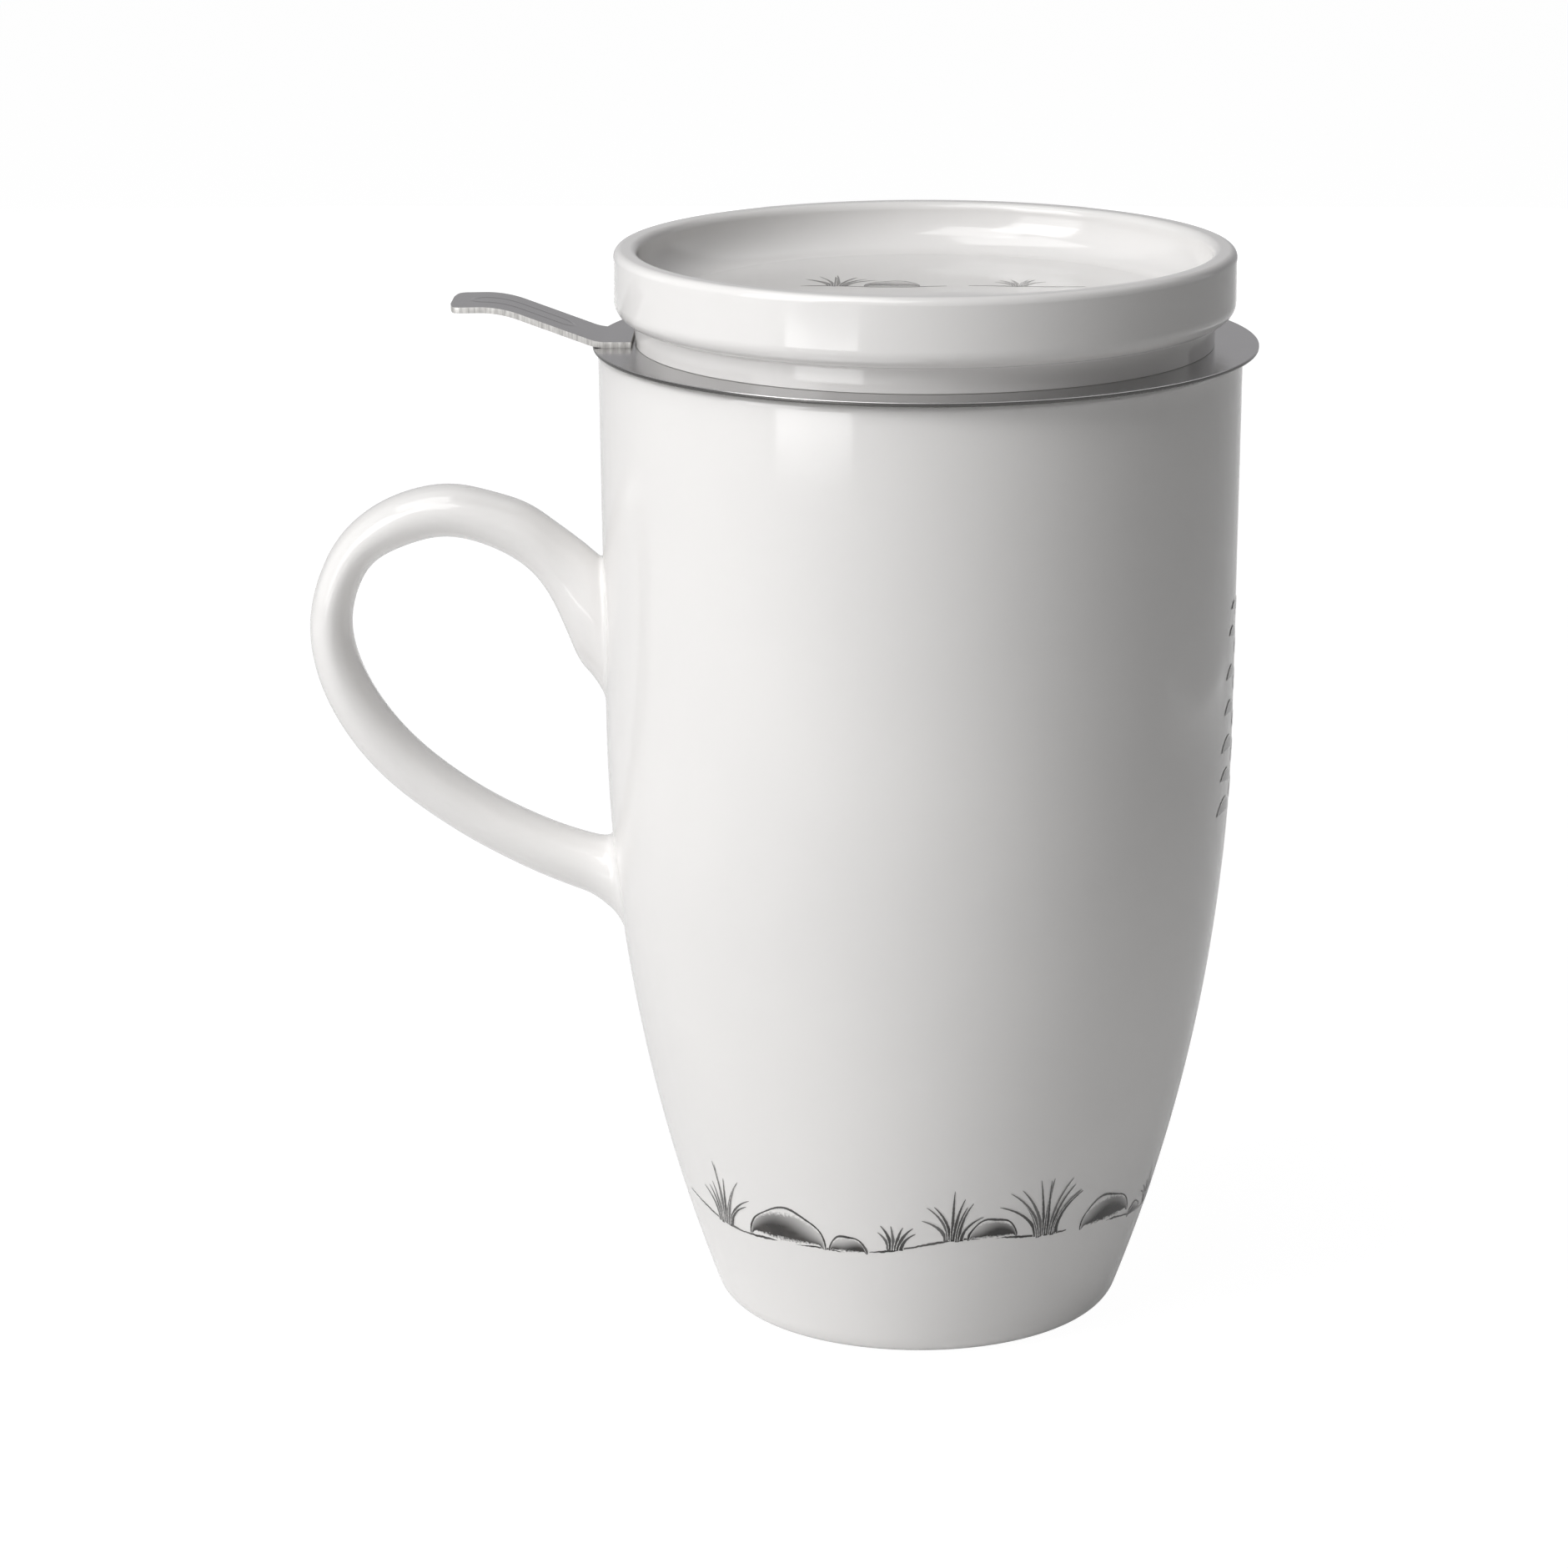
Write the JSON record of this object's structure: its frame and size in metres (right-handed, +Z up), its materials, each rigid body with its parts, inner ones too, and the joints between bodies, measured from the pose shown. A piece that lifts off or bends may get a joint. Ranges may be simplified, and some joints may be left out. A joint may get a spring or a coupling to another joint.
{
  "type": "lidded tea mug with infuser",
  "caption": "Straight-sided porcelain tea mug with a loop handle, a lift-out perforated steel infuser with a lifting tab, and a lift-off dish lid on a neck.",
  "frame": {"origin": "centre of the foot ring's underside, on the mug's axis, where it stands on the table", "axes": "+Z up along the mug's axis; the handle and the infuser's tab point to -X; +Y to the back"},
  "size_m": [0.1304, 0.0906, 0.15],
  "materials": {
    "porcelain": "glossy white glaze",
    "steel": "satin stainless sheet"
  },
  "bodies": {
    "mug": {"mug_body": "porcelain", "mug_handle": "porcelain"},
    "infuser": {"infuser_rim": "steel", "infuser_wall": "steel", "infuser_base": "steel", "infuser_tab": "steel"},
    "lid": {"lid": "porcelain"}
  },
  "joints": [
    {"name": "infuser_lift", "type": "slide", "parent": "mug", "child": "infuser", "axis": [0, 0, 1], "range_m": [0, 0.1]},
    {"name": "lid_lift", "type": "slide", "parent": "infuser", "child": "lid", "axis": [0, 0, 1], "range_m": [0, 0.06]}
  ]
}
